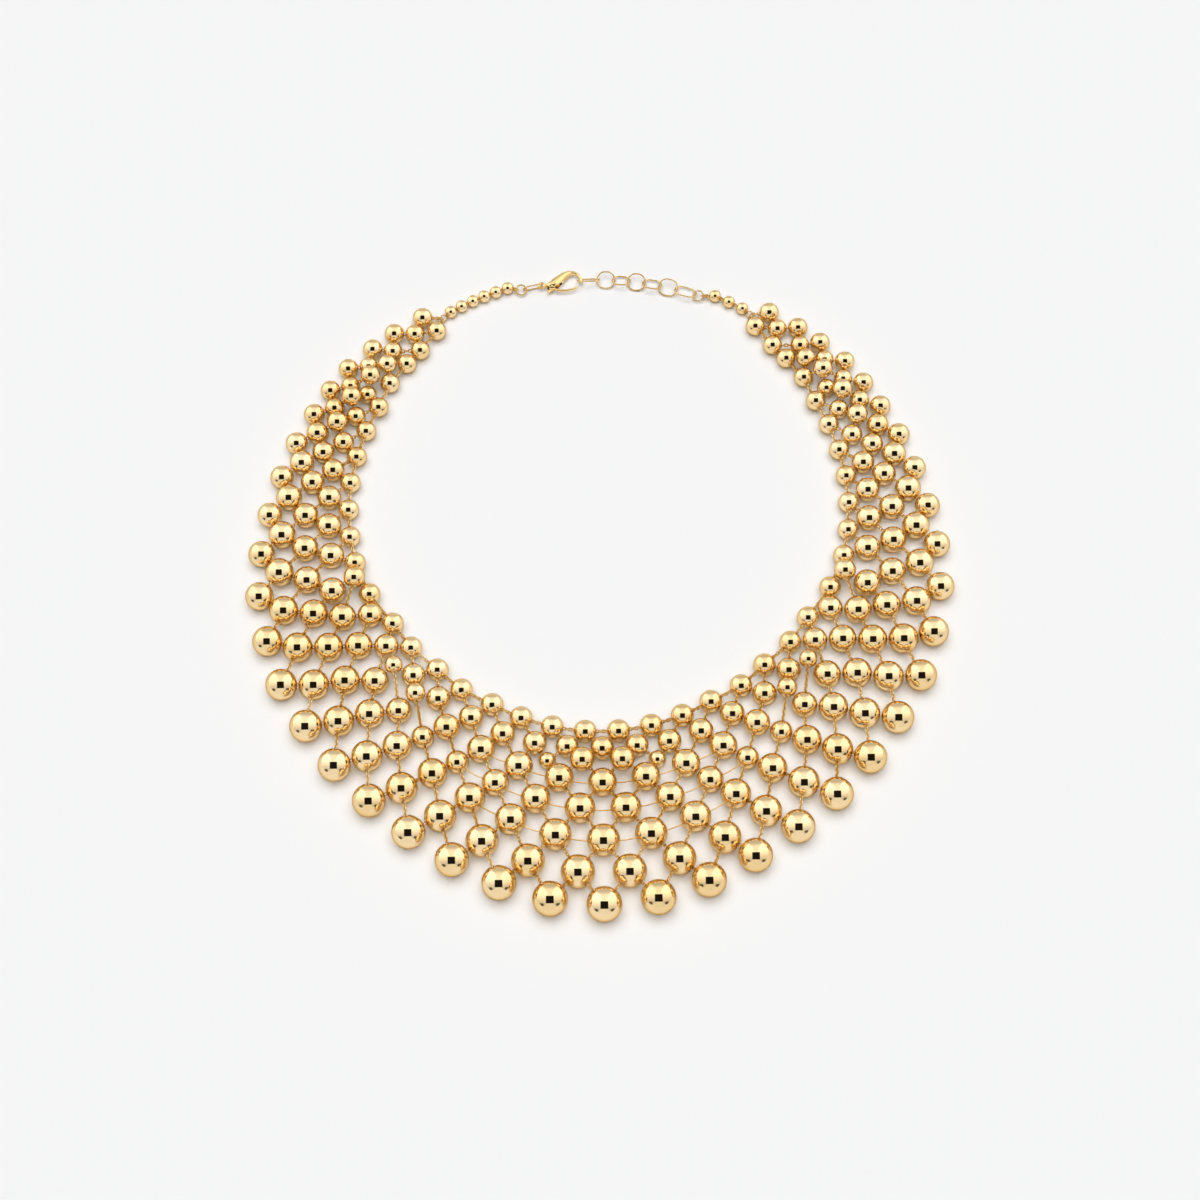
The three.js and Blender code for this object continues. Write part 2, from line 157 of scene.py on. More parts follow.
def paint_room(tree):
    direction = tree.nodes.new("ShaderNodeTexCoord").outputs["Generated"]
    facing_view = maths(tree, "MULTIPLY_ADD", along(tree, direction, LIGHT_VIEW), 2.0, 2.0)
    depth = maths(tree, "SQRT", maths(tree, "MAXIMUM", facing_view, SMALLEST))
    across = maths(tree, "DIVIDE", along(tree, direction, LIGHT_RIGHT), depth)
    up = maths(tree, "DIVIDE", along(tree, direction, LIGHT_UP), depth)
    side = maths(tree, "ABSOLUTE", across)

    def oval(centre_side, centre_up, half_side, half_up, softness):
        x = maths(tree, "DIVIDE", maths(tree, "SUBTRACT", side, centre_side), half_side)
        y = maths(tree, "DIVIDE", maths(tree, "SUBTRACT", up, centre_up), half_up)
        square = maths(tree, "MULTIPLY_ADD", x, x, maths(tree, "MULTIPLY", y, y))
        reach = maths(tree, "SQRT", square)
        return fade(tree, reach, 1 + softness, 1 - softness)

    walls = fade(tree, up, *CEILING_EDGE, WALL, CEILING)
    walls = between(tree, fade(tree, up, *NEAR_WALL_EDGE), walls, NEAR_WALL)
    room = between(tree, oval(**SOFT_BOX), walls, fade(tree, up, *SOFT_BOX_FADE))
    room = between(tree, oval(**DARK_MARK), room, MARK_LIGHT)
    card = maths(tree, "MULTIPLY", fade(tree, side, *CARD_SIDE_EDGE),
                 fade(tree, maths(tree, "ABSOLUTE", up), *CARD_UP_EDGE))
    return between(tree, card, room, CARD_LIGHT)


def overhead_light(tree):
    """White light for matt surfaces, most of it from a wide panel straight above."""
    direction = tree.nodes.new("ShaderNodeTexCoord").outputs["Generated"]
    height = along(tree, direction, (0, 0, 1))
    return fade(tree, height, *PANEL_EDGE, LOW_LIGHT, OVERHEAD_LIGHT)


world = bpy.data.worlds.new("studio")
world.use_nodes = True
world.cycles.sampling_method = "NONE"
bpy.context.scene.world = world
tree = world.node_tree
matt_ray = tree.nodes.new("ShaderNodeLightPath").outputs["Is Diffuse Ray"]
strength = between(tree, matt_ray, paint_room(tree), overhead_light(tree))
tree.links.new(strength, tree.nodes["Background"].inputs["Strength"])
tree.nodes["Background"].inputs["Color"].default_value = (1, 1, 1, 1)
print("world nodes:", len(tree.nodes))

# %% [markdown]
# ## Table
# The table is a sheet of matt white paper. Its white varies a very little from place to place,
# as paper does, and it has no gloss, so that only the contact shadows show on it.

# %% Lay the table
TABLE_SIZE = 80    # so large that no view shows its edge
PAPER_GRAIN = 900
bpy.ops.object.select_all(action="DESELECT")
bpy.ops.mesh.primitive_plane_add(size=TABLE_SIZE)
table = bpy.context.object
table.name = "table"

paper = bpy.data.materials.new("paper")
paper.use_nodes = True
tree = paper.node_tree
shader = tree.nodes["Principled BSDF"]
noise = tree.nodes.new("ShaderNodeTexNoise")
tree.links.new(tree.nodes.new("ShaderNodeTexCoord").outputs["Object"], noise.inputs["Vector"])
noise.inputs["Scale"].default_value = PAPER_GRAIN
tint = tree.nodes.new("ShaderNodeMix")
tint.data_type = "RGBA"
tree.links.new(noise.outputs[0], tint.inputs[0])
tint.inputs[6].default_value = (0.914, 0.916, 0.922, 1)
tint.inputs[7].default_value = (0.926, 0.926, 0.928, 1)
tree.links.new(tint.outputs[2], shader.inputs["Base Color"])
shader.inputs["Roughness"].default_value = 0.9
shader.inputs["Specular IOR Level"].default_value = 0
table.data.materials.append(paper)
print("table laid")

# %% [markdown]
# ## Gold finishes
# Plating over brass isn't one flat colour: it is a little paler or redder from patch to patch,
# and handling leaves hairline scratches that only change how sharp a reflection is. One node
# group makes that variation for all three finishes. The beads are bright and smooth, and the drawn
# wire of the chain and the cast clasp are slightly deeper in colour and less sharp.

# %% Plating variation as a node group
PATCHES = dict(scale=55, detail=3)                    # paler and redder patches
HAIRLINES = dict(scale=2600, detail=2, stretch=(1, 9, 3))  # fine scratches, all one way
SMEARS = dict(scale=240, detail=4)                    # where fingers have dulled the shine
DENTS = dict(scale=420, detail=1)                     # the thin wall isn't perfectly round
DENT_DEPTH = 0.02 * MM


def plating_group():
    group = bpy.data.node_groups.new("plating", "ShaderNodeTree")
    for name, kind in (("Pale", "NodeSocketColor"), ("Deep", "NodeSocketColor"),
                       ("Smoothest", "NodeSocketFloat"), ("Dullest", "NodeSocketFloat"),
                       ("Dents", "NodeSocketFloat")):
        group.interface.new_socket(name, in_out="INPUT", socket_type=kind)
    for name, kind in (("Color", "NodeSocketColor"), ("Roughness", "NodeSocketFloat"),
                       ("Normal", "NodeSocketVector")):
        group.interface.new_socket(name, in_out="OUTPUT", socket_type=kind)
    given = group.nodes.new("NodeGroupInput").outputs
    result = group.nodes.new("NodeGroupOutput").inputs
    place = group.nodes.new("ShaderNodeTexCoord").outputs["Object"]

    def noise(scale, detail, stretch=(1, 1, 1)):
        mapping = group.nodes.new("ShaderNodeMapping")
        mapping.inputs["Scale"].default_value = stretch
        group.links.new(place, mapping.inputs["Vector"])
        node = group.nodes.new("ShaderNodeTexNoise")
        group.links.new(mapping.outputs[0], node.inputs["Vector"])
        node.inputs["Scale"].default_value = scale
        node.inputs["Detail"].default_value = detail
        return node.outputs[0]

    patches = fade(group, noise(**PATCHES), 0.35, 0.65)
    colour = group.nodes.new("ShaderNodeMix")
    colour.data_type = "RGBA"
    group.links.new(patches, colour.inputs[0])
    group.links.new(given["Pale"], colour.inputs[6])
    group.links.new(given["Deep"], colour.inputs[7])
    group.links.new(colour.outputs[2], result["Color"])

    hairlines = fade(group, noise(**HAIRLINES), 0.6, 0.75)
    smears = fade(group, noise(**SMEARS), 0.4, 0.7)
    wear = maths(group, "MAXIMUM", hairlines, smears)
    group.links.new(between(group, wear, given["Smoothest"], given["Dullest"]), result["Roughness"])

    bump = group.nodes.new("ShaderNodeBump")
    group.links.new(given["Dents"], bump.inputs["Strength"])
    bump.inputs["Distance"].default_value = DENT_DEPTH
    group.links.new(noise(**DENTS), bump.inputs["Height"])
    group.links.new(bump.outputs[0], result["Normal"])
    return group


plating = plating_group()
print("plating group:", len(plating.nodes), "nodes")

# %% The three gold materials
EDGE_GOLD = (0.62, 0.41, 0.15, 1)  # polished gold deepens in colour towards its edges
FINISHES = {
    "bead_gold": dict(Pale=(0.95, 0.735, 0.43, 1), Deep=(0.91, 0.665, 0.335, 1),
                      Smoothest=0.02, Dullest=0.06, Dents=0.25),
    "chain_gold": dict(Pale=(0.92, 0.70, 0.36, 1), Deep=(0.74, 0.48, 0.16, 1),
                       Smoothest=0.09, Dullest=0.2, Dents=0.4),
    "clasp_gold": dict(Pale=(0.96, 0.71, 0.33, 1), Deep=(0.88, 0.60, 0.22, 1),
                       Smoothest=0.05, Dullest=0.13, Dents=0.5),
}


def gold(name):
    material = bpy.data.materials.new(name)
    material.use_nodes = True
    tree = material.node_tree
    shader = tree.nodes["Principled BSDF"]
    shader.inputs["Metallic"].default_value = 1
    shader.inputs["Specular Tint"].default_value = EDGE_GOLD
    finish = tree.nodes.new("ShaderNodeGroup")
    finish.node_tree = plating
    for socket, value in FINISHES[name].items():
        finish.inputs[socket].default_value = value
    for output, socket in (("Color", "Base Color"), ("Roughness", "Roughness"),
                           ("Normal", "Normal")):
        tree.links.new(finish.outputs[output], shader.inputs[socket])
    return material


golds = {name: gold(name) for name in FINISHES}
print("materials:", ", ".join(golds))

# %% [markdown]
# ## Where the beads lie
# The net's rows run round the neck, from row 1 at the neck edge to row 8 at the outer edge. A
# full list of 228 places would hide that order, so each row is a short table of stations, and a
# smooth cubic through them gives the beads between. A bead is named by its row and its number
# from the front centre, whole in even rows and half in odd ones. The left side mirrors the right.

# %% Tables of the rows: index, angle, radius, diameter, lift
NECK_CENTRE = Vector((0.18, 23.86, 0))
ROWS = {  # row: (first, last, stations), degrees and millimetres
    8: (0, 20, ((0, 0, 128.6, 10.0, 0), (4, 27.2, 119.3, 9.6, 0), (8, 56.7, 108.3, 9.2, 0),
                (12, 88.2, 97.7, 7.4, 0), (14, 103.7, 92.7, 6.7, 0), (16, 116.3, 90.2, 6.1, 0),
                (20, 141.1, 85.4, 6.1, 0))),
    7: (0.5, 19.5, ((0, 0, 119.2, 9.6, 0), (4, 27.9, 109.7, 9.1, 0), (8, 57.8, 99.8, 8.8, 0),
                    (12, 87.7, 92.8, 8.0, 0), (14, 103.5, 88.5, 7.1, 0), (16, 116.5, 86.4, 5.9, 0),
                    (20, 140, 82.3, 5.9, 0))),
    6: (0, 18, ((0, 0, 109.3, 9.3, 0), (4, 28.6, 99.9, 8.5, 0), (8, 59.0, 91.8, 8.5, 0),
                (12, 88.1, 86.7, 7.6, 0), (14, 103.6, 84.7, 6.7, 0), (16, 117.0, 82.9, 6.1, 1),
                (18, 127.5, 81.6, 5.8, 1))),
    5: (0.5, 16.5, ((0, 0, 99.8, 8.8, 0), (2, 14.8, 97.0, 8.2, 0), (4, 29.2, 91.0, 6.4, 0),
                    (6, 44.5, 86.6, 7.8, 0), (8, 60.2, 84.6, 8.1, 0), (12, 89.0, 80.8, 7.4, 0),
                    (16, 116.4, 80.8, 5.7, 0))),
    4: (0, 6, ((0, 0, 91.4, 8.2, 0), (2, 15.6, 89.4, 8.2, 0), (4, 31.8, 87.3, 7.6, 0),
               (5, 40.1, 84.5, 5.8, 1.5), (6, 47.2, 82.5, 5.3, 1.5))),
    3: (0.5, 1.5, ((0.5, 3.9, 85.0, 7.0, 2.2), (1.5, 10.6, 85.2, 5.0, 0))),
    2: (0, 9, ((0, 0, 80.5, 6.8, 0), (1, 7.0, 80.4, 6.6, 0), (3, 20.7, 81.1, 7.2, 0),
               (6, 44.9, 78.8, 7.0, 0), (8, 61.6, 78.4, 7.3, 0), (9, 70.8, 78.6, 6.4, 1.5))),
    1: (0.5, 19.5, ((0, 0, 75.4, 6.6, 0), (4, 29.5, 73.8, 6.6, 0), (8, 62.4, 73.8, 6.4, 0),
                    (10, 78.8, 75.2, 6.3, 0), (12, 93.3, 75.5, 6.2, 0), (16, 121.5, 76.8, 6.0, 0),
                    (20, 144.6, 80.5, 5.9, 0))),
}


def values_at(stations, index):
    """(angle, radius, diameter, lift) at any index of a row."""
    rows = list(stations)
    if rows[0][0] == 0:
        mirrored = rows[1]
        rows.insert(0, (-mirrored[0], -mirrored[1]) + mirrored[2:])
    k = 0
    while k < len(rows) - 2 and index > rows[k + 1][0]:
        k += 1

    def slope(j, column):
        before, after = rows[max(j - 1, 0)], rows[min(j + 1, len(rows) - 1)]
        return (after[column] - before[column]) / (after[0] - before[0])

    span = rows[k + 1][0] - rows[k][0]
    u = (index - rows[k][0]) / span
    return [rows[k][c] * (2 * u**3 - 3 * u**2 + 1) + slope(k, c) * span * (u**3 - 2 * u**2 + u)
            + rows[k + 1][c] * (3 * u**2 - 2 * u**3) + slope(k + 1, c) * span * (u**3 - u**2)
            for c in range(1, 5)]


def around_neck(angle, radius, height):
    a = math.radians(angle)
    return Vector((radius * math.sin(a), -radius * math.cos(a), height))


def lay_beads():
    """{(row, index): [centre, radius]} in millimetres, from the neck centre."""
    beads = {}
    for row, (first, last, stations) in ROWS.items():
        for step in range(int(last - first) + 1):
            angle, radius, diameter, lift = values_at(stations, first + step)
            for side in ((1,) if first + step == 0 else (1, -1)):
                height = diameter / 2 + max(lift, 0)
                beads[row, (first + step) * side] = [
                    around_neck(angle * side, radius, height), diameter / 2]
    return beads


beads = lay_beads()
print("beads laid:", len(beads))

# %% [markdown]
# ## Let the beads settle
# Real beads can't share a place. Those that the tables put too close push each other apart, a
# little at a time, until every pair is clear, just as the CAD model does it. The same rule gives
# the same places, so the smooth beads sit exactly on the CAD solids.

# %% Push overlapping beads apart
BEAD_GAP = 0.35        # smallest clearance between two beads
SMALLEST_PUSH = 0.001  # an overlap that is too small to matter
MOST_PASSES = 60


def settle(beads):
    row = list(beads.values())
    for passes in range(MOST_PASSES):
        moved = False
        for i, bead in enumerate(row):
            for other in row[i + 1:]:
                push = other[0] - bead[0]
                overlap = bead[1] + other[1] + BEAD_GAP - push.length
                if overlap > SMALLEST_PUSH:
                    push.length = overlap / 2
                    bead[0] = bead[0] - push
                    other[0] = other[0] + push
                    moved = True
        for bead in row:
            bead[0].z = max(bead[0].z, bead[1])
        if not moved:
            break
    return passes


print("settled after passes:", settle(beads))

# %% [markdown]
# ## Which beads share a string
# A string starts at an outer bead and runs inwards on one slant, half a place per row. Where the
# net narrows, the inner rows end and the string goes on to the neck edge. The straps carry on
# from the last beads of the net.

# %% Strings and straps
STRAP_RADIUS = 83.4    # distance of the strap beads from the neck centre
STRAP_BEAD = 3.8       # their diameter
LEFT_STRAP = (-32.7, -30.0, -27.3, -24.6, -21.9, -19.2)
RIGHT_STRAP = (33.1, 29.8, 26.5)


def string_names(start):
    inner = start - 2
    names = [(8, start), (7, start - 0.5), (6, start - 1), (5, start - 1.5)]
    if abs(inner) <= 6:
        names.append((4, inner))
        if inner >= 2:
            names += [(2, inner), (1, inner - 0.5)]
        elif inner >= -1:
            names += [(3, inner - 0.5), (2, inner - 1), (1, inner - 1.5)]
        elif inner > -6:
            names += [(2, inner - 1), (1, inner - 1.5)]
    elif abs(inner) <= 9:
        names += [(2, inner), (1, inner - 0.5)]
    elif start == 20:
        names += [(1, 18.5), (1, 17.5)]
    elif start <= -16:
        names.append((1, start - 0.5))
    elif start not in (-8, -15):
        names.append((1, inner - math.copysign(0.5, inner)))
    return [name for name in names if name in beads]


for side, angles in (("left", LEFT_STRAP), ("right", RIGHT_STRAP)):
    for number, angle in enumerate(angles):
        place = around_neck(180 - angle, STRAP_RADIUS, STRAP_BEAD / 2)
        beads[side, number] = [place, STRAP_BEAD / 2]

strings = {f"net_string_{start + 20:02d}": string_names(start) for start in range(-19, 21)}
strings["net_string_inner"] = [(3, 1.5), (2, 1), (1, 0.5)]
strings["strap_strand_left"] = [(8, -20)] + [("left", n) for n in range(len(LEFT_STRAP))]
strings["strap_strand_right"] = [(1, 19.5)] + [("right", n) for n in range(len(RIGHT_STRAP))]
print("strings:", len(strings), "longest:", max(len(names) for names in strings.values()))

# %% [markdown]
# ## One bead
# A hollow bead is a thin ball with a hole at each end, and its edge is rolled in where the chain
# goes through. It is one sphere, turned so that its holes face along the string. Each end is
# inset and pushed in, so the ball stays closed and the chain has a dark place to leave from.

# %% Small helpers for edit mode
def deselect():
    bpy.ops.object.select_all(action="DESELECT")


def select_faces(obj, chosen):
    """Goes to edit mode with the faces selected whose centre passes the test."""
    bpy.ops.object.mode_set(mode="EDIT")
    bpy.ops.mesh.select_all(action="DESELECT")
    bpy.ops.mesh.select_mode(type="FACE")
    bpy.ops.object.mode_set(mode="OBJECT")
    for face in obj.data.polygons:
        face.select = bool(chosen(face.center))
    bpy.ops.object.mode_set(mode="EDIT")


def only(obj):
    deselect()
    obj.select_set(True)
    bpy.context.view_layer.objects.active = obj
    return obj


print("edit helpers ready")

# %% Model the bead
SMOOTH_ANGLE = math.radians(40)
END_FACES = 0.985      # faces beyond this share of the radius make the hole's edge
ROLLED_EDGE = dict(thickness=0.03, depth=-0.012)
HOLE = dict(thickness=0.02, depth=-0.14)


def model_bead():
    deselect()
    bpy.ops.mesh.primitive_uv_sphere_add(segments=28, ring_count=18, radius=1)
    bead = bpy.context.object
    bpy.ops.object.mode_set(mode="EDIT")
    bpy.ops.mesh.select_all(action="SELECT")
    bpy.ops.transform.rotate(value=math.pi / 2, orient_axis="Y", center_override=(0, 0, 0))
    bpy.ops.object.mode_set(mode="OBJECT")
    for end in (-1, 1):
        select_faces(bead, lambda centre: centre.x * end > END_FACES)
        bpy.ops.mesh.inset(**ROLLED_EDGE)
        bpy.ops.mesh.inset(**HOLE)
        bpy.ops.object.mode_set(mode="OBJECT")
    bpy.ops.object.shade_smooth_by_angle(angle=SMOOTH_ANGLE)
    return bead


bead_pattern = model_bead()
bead_pattern.name = "bead_pattern"
print("bead faces:", len(bead_pattern.data.polygons))

# %% [markdown]
# ## Thread the beads
# Every bead is a copy of the pattern, scaled to its own size and turned along its string, and
# the beads of one string become one piece. Each piece stands for the CAD solid of that string.

# %% Copy the beads onto their strings
def facing(direction, roll=0.0):
    """A turn that takes +X to the direction, with +Z as high as it can be before the roll."""
    x = direction.normalized()
    y = Vector((0, 0, 1)).cross(x)
    y = y.normalized() if y.length > NEARLY_ZERO else Vector((0, 1, 0))
    basis = Matrix((x, y, x.cross(y))).transposed()
    return basis.to_4x4() @ Matrix.Rotation(roll, 4, "X")


def copy_at(pattern, place, direction, scale, roll=0.0):
    """A copy with its own mesh, whose place, turn and size are all in its vertices."""
    copy = pattern.copy()
    copy.data = pattern.data.copy()
    bpy.context.collection.objects.link(copy)
    copy.data.transform(Matrix.Translation((NECK_CENTRE + place) * MM)
                        @ facing(direction, roll) @ Matrix.Diagonal((*scale, 1)))
    copy.matrix_world = Matrix.Identity(4)
    return copy


def joined(parts, name):
    deselect()
    for part in parts:
        part.select_set(True)
    bpy.context.view_layer.objects.active = parts[0]
    if len(parts) > 1:
        bpy.ops.object.join()
    parts[0].name = name
    return parts[0]


def finish_piece(obj, material, body="necklace", node=None):
    obj.data.materials.clear()
    obj.data.materials.append(golds[material])
    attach(obj, body)
    if node:
        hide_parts(node)
    return obj


END_TURN = 0.7  # the open hole of a string's end bead faces the table
bead_count = 0
for node, names in strings.items():
    parts = []
    for i, name in enumerate(names):
        before, after = names[max(i - 1, 0)], names[min(i + 1, len(names) - 1)]
        direction = beads[after][0] - beads[before][0]
        direction.z = 0
        place, radius = beads[name]
        if i in (0, len(names) - 1) and not node.startswith("strap"):
            direction.z = END_TURN * direction.length * (1 if i == 0 else -1)
        parts.append(copy_at(bead_pattern, place, direction, (radius * MM,) * 3))
    bead_count += len(parts)
    finish_piece(joined(parts, f"beads_{node}"), "bead_gold", node=node)
bpy.data.objects.remove(bead_pattern)
print("beads threaded:", bead_count)

# %% [markdown]
# ## Cable chain
# The chain that carries the beads has oval links under two millimetres long, and every second
# one is turned by a quarter, because each hangs through the next. There are about a thousand, so
# the pattern link has few faces: it is a small ring, stretched so that its sides run straight.
# The chain follows both slants of the net and the neck edge, and only its open stretches between
# two beads are made.

# %% Model the link
LINK_LENGTH = 1.75
LINK_WIDTH = 1.3
LINK_WIRE = 0.42


def oval_link(half_length, half_width, wire, around, section):
    """A wire ring, its sides straight where it is longer than wide, in millimetres."""
    deselect()
    bpy.ops.mesh.primitive_torus_add(major_segments=around, minor_segments=section,
                                     major_radius=half_width * MM, minor_radius=wire / 2 * MM)
    link = bpy.context.object
    for end in (-1, 1):
        bpy.ops.object.mode_set(mode="EDIT")
        bpy.ops.mesh.select_all(action="DESELECT")
        bpy.ops.mesh.select_mode(type="VERT")
        bpy.ops.object.mode_set(mode="OBJECT")
        for vertex in link.data.vertices:
            vertex.select = vertex.co.x * end > NEARLY_ZERO
        bpy.ops.object.mode_set(mode="EDIT")
        bpy.ops.transform.translate(value=(end * (half_length - half_width) * MM, 0, 0))
        bpy.ops.object.mode_set(mode="OBJECT")
    bpy.ops.object.shade_smooth()
    return link


small_link = oval_link((LINK_LENGTH - LINK_WIRE) / 2, (LINK_WIDTH - LINK_WIRE) / 2,
                       LINK_WIRE, around=10, section=5)
small_link.data.transform(Matrix.Diagonal((1 / MM, 1 / MM, 1 / MM, 1)))
print("link faces:", len(small_link.data.polygons))

# %% Run the chain between the beads
LINK_PITCH = LINK_LENGTH - 2 * LINK_WIRE
INSIDE_BEAD = 0.3      # how far the chain starts inside a bead
SAG = 0.05             # sag of a stretch, as a share of its length
FIRST_LINK_ROLL = math.radians(45)


def mirrored(name):
    return (name[0], -name[1]) if not isinstance(name[0], str) else None


def net_edges():
    slant_in, slant_out, straps = [], [], []
    for node, names in strings.items():
        pairs = list(zip(names, names[1:]))
        if node.startswith("strap"):
            straps += [pair for pair in pairs if isinstance(pair[0][0], str)]
            continue
        slant_in += pairs
        slant_out += [(mirrored(a), mirrored(b)) for a, b in pairs]
    neck = []
    for side in (1, -1):
        neck += [((1, (n + 0.5) * side), (1, (n + 1.5) * side)) for n in range(19)]
    neck.append(((1, -0.5), (1, 0.5)))
    known = set()
    families = {}
    for family, pairs in (("slant_in", slant_in), ("slant_out", slant_out),
                          ("neck_edge", neck), ("straps", straps)):
        fresh = [pair for pair in pairs if frozenset(pair) not in known]
        known |= {frozenset(pair) for pair in pairs}
        families[family] = list(dict.fromkeys(fresh))
    return families


def run_chain(start, end):
    """Links from one point to another, in millimetres from the neck centre."""
    length = (end - start).length
    count = max(1, round(length / LINK_PITCH))
    roll = FIRST_LINK_ROLL
    links = []
    for n in range(count):
        share = (n + 0.5) / count
        place = start.lerp(end, share)
        place.z = max(place.z - SAG * length * 4 * share * (1 - share), LINK_WIDTH / 2)
        direction = end - start
        direction.z -= SAG * length * 4 * (1 - 2 * share)
        links.append(copy_at(small_link, place, direction, (MM,) * 3, roll + math.pi / 2 * (n % 2)))
    return links


link_count = 0
for family, pairs in net_edges().items():
    links = []
    for a, b in pairs:
        (start, start_radius), (end, end_radius) = beads[a], beads[b]
        way = (end - start).normalized()
        links += run_chain(start + way * (start_radius - INSIDE_BEAD),
                           end - way * (end_radius - INSIDE_BEAD))
    link_count += len(links)
    finish_piece(joined(links, f"cable_chain_{family}"), "chain_gold")
    print(family, "stretches:", len(pairs), "links:", len(links))
print("links in all:", link_count)

# %% [markdown]
# ## Strap ends
# A strap meets the net at a small ring. From it one short chain goes to the outer end bead and
# another to the last bead of the neck edge, and the strap's own beads hang on its other side.

# %% Join each strap to the net
END_RING = 1.0         # radius of the small ring's centre line
END_RING_WIRE = 0.4
END_RING_TILT = math.radians(25)
RING_HEIGHT = 1.2
CHAIN_RADIUS = 81.6    # distance of the extender chain from the neck centre
CHAIN_HEIGHT = 1.6
STRAP_RING_PLACE = -23.5  # places of the two rings along the back
END_RING_PLACE = 32.90
RING_REACH = 1.3       # from a ring's middle to where its short chain starts
end_parts = []
for side, sign in (("left", -1), ("right", 1)):
    first, first_radius = beads[side, 0]
    corners = (beads[8, 20 * sign], beads[1, 19.5 * sign])
    middle = (corners[0][0] + corners[1][0]) / 2
    centre = first + (middle - first).normalized() * (first_radius + END_RING)
    centre.z = RING_HEIGHT
    ring = oval_link(END_RING, END_RING, END_RING_WIRE, around=24, section=8)
    ring.data.transform(Matrix.Translation((NECK_CENTRE + centre) * MM)
                        @ Matrix.Rotation(END_RING_TILT, 4, "X"))
    end_parts.append(ring)
    for corner, radius in corners:
        way = (corner - centre).normalized()
        end_parts += run_chain(centre + way * (END_RING - INSIDE_BEAD),
                               corner - way * (radius - INSIDE_BEAD))
for last_bead, along_chain in ((("left", 5), STRAP_RING_PLACE),
                               (("right", 2), END_RING_PLACE)):
    centre, radius = beads[last_bead]
    turn = along_chain / CHAIN_RADIUS
    ring = Vector((CHAIN_RADIUS * math.sin(turn), CHAIN_RADIUS * math.cos(turn), CHAIN_HEIGHT))
    way = (ring - centre).normalized()
    end_parts += run_chain(centre + way * (radius - INSIDE_BEAD), ring - way * RING_REACH)
finish_piece(joined(end_parts, "strap_end_links"), "chain_gold")
print("pieces at the strap ends:", len(end_parts))

# %% [markdown]
# ## Tie wires
# Near the front, where the net opens widest, thin smooth wires also join neighbours of the same
# row, so that it keeps its shape. Each is a curve with a round section, bowed a little forwards
# and turned into a mesh.

# %% Bow thin wires between neighbours of a row
TIE_WIRE = 0.22        # radius of the wire
TIE_BOW = 0.07         # how far it bows forwards, as a share of its length
TIED_ROWS = {4: 3, 5: 3.5, 6: 3}  # row: last bead that is tied
ties = []
for row, last in TIED_ROWS.items():
    for step in range(int(2 * last)):
        (start, _), (end, _) = beads[row, -last + step], beads[row, -last + step + 1]
        forwards = Vector(((start + end).x, (start + end).y, 0)).normalized()
        bow = forwards * (end - start).length * TIE_BOW
        points = [start, (start + end) / 2 + bow, end]
        deselect()
        bpy.ops.curve.primitive_bezier_curve_add()
        tie = bpy.context.object
        curve = tie.data.splines[0]
        curve.bezier_points.add(1)
        for point, place in zip(curve.bezier_points, points):
            point.co = (NECK_CENTRE + place) * MM
            point.handle_left_type = point.handle_right_type = "AUTO"
        tie.data.resolution_u = 5
        tie.data.bevel_depth = TIE_WIRE * MM
        tie.data.bevel_resolution = 1
        tie.data.use_fill_caps = True
        only(tie)
        bpy.ops.object.convert(target="MESH")
        bpy.ops.object.shade_smooth_by_angle(angle=math.radians(50))
        ties.append(bpy.context.object)
finish_piece(joined(ties, "row_tie_wires"), "chain_gold")
print("tie wires:", len(ties))

# %% [markdown]
# ## Rings and extender
# Each CAD ring becomes a smooth wire ring of the same size at the same place. Its middle and its
# direction come from its place along the back of the neck circle, and its tilt is how it
# really lies: each link leans against the next.

# %% Links of the extender, the strap ring and the clasp link
RING_WIRE = 0.45
LINK_CLEARANCE = 0.75  # one wire's thickness and the play between two linked rings
RINGS = [  # name, half length, half width, wire, tilt, place along the back
    ("strap_ring", 1.6, 1.6, 0.5, 20, STRAP_RING_PLACE),
    ("clasp_link", 2.95, 1.3, 0.45, -80, -19.75),
]
EXTENDER = [("extender_link_1", 3.4, 1.9, -45), ("extender_link_2", 2.8, 2.6, 25),
            ("extender_link_3", 2.75, 2.2, -20), ("extender_link_4", 2.8, 2.6, 25),
            ("extender_link_5", 2.9, 2.2, -20), ("extender_link_6", 3.0, 2.6, 25),
            ("extender_link_7", 3.4, 2.2, -20), ("end_ring", 1.6, 1.6, 25)]
FIRST_LINK_PLACE = -2.15

place = FIRST_LINK_PLACE
for number, (name, half_length, half_width, tilt) in enumerate(EXTENDER):
    if number:
        place += EXTENDER[number - 1][1] + half_length - LINK_CLEARANCE
    RINGS.append((name, half_length, half_width, RING_WIRE, tilt, place))


def at_back(along_chain):
    """The frame of a piece at a distance along the chain: millimetres in, metres out."""
    turn = along_chain / CHAIN_RADIUS
    centre = NECK_CENTRE + Vector((CHAIN_RADIUS * math.sin(turn),
                                   CHAIN_RADIUS * math.cos(turn), CHAIN_HEIGHT))
    return Matrix.Translation(centre * MM) @ Matrix.Rotation(-turn, 4, "Z")


for name, half_length, half_width, wire, tilt, place in RINGS:
    ring = oval_link(half_length, half_width, wire, around=40, section=12)
    ring.data.transform(at_back(place) @ Matrix.Rotation(math.radians(tilt), 4, "X"))
    ring.name = f"ring_{name}"
    finish_piece(ring, "chain_gold", node=name)
print("rings:", len(RINGS))

# %% [markdown]
# ## Lobster clasp
# The body is cast: it swells from the eye into a plump back and thins into a hook. Circles are
# placed along that path, bridged into a skin and subdivided. A slot is cut through the thick
# end, and the lever turns in it on a pin. The lever is a flat strip, so its circles are low.

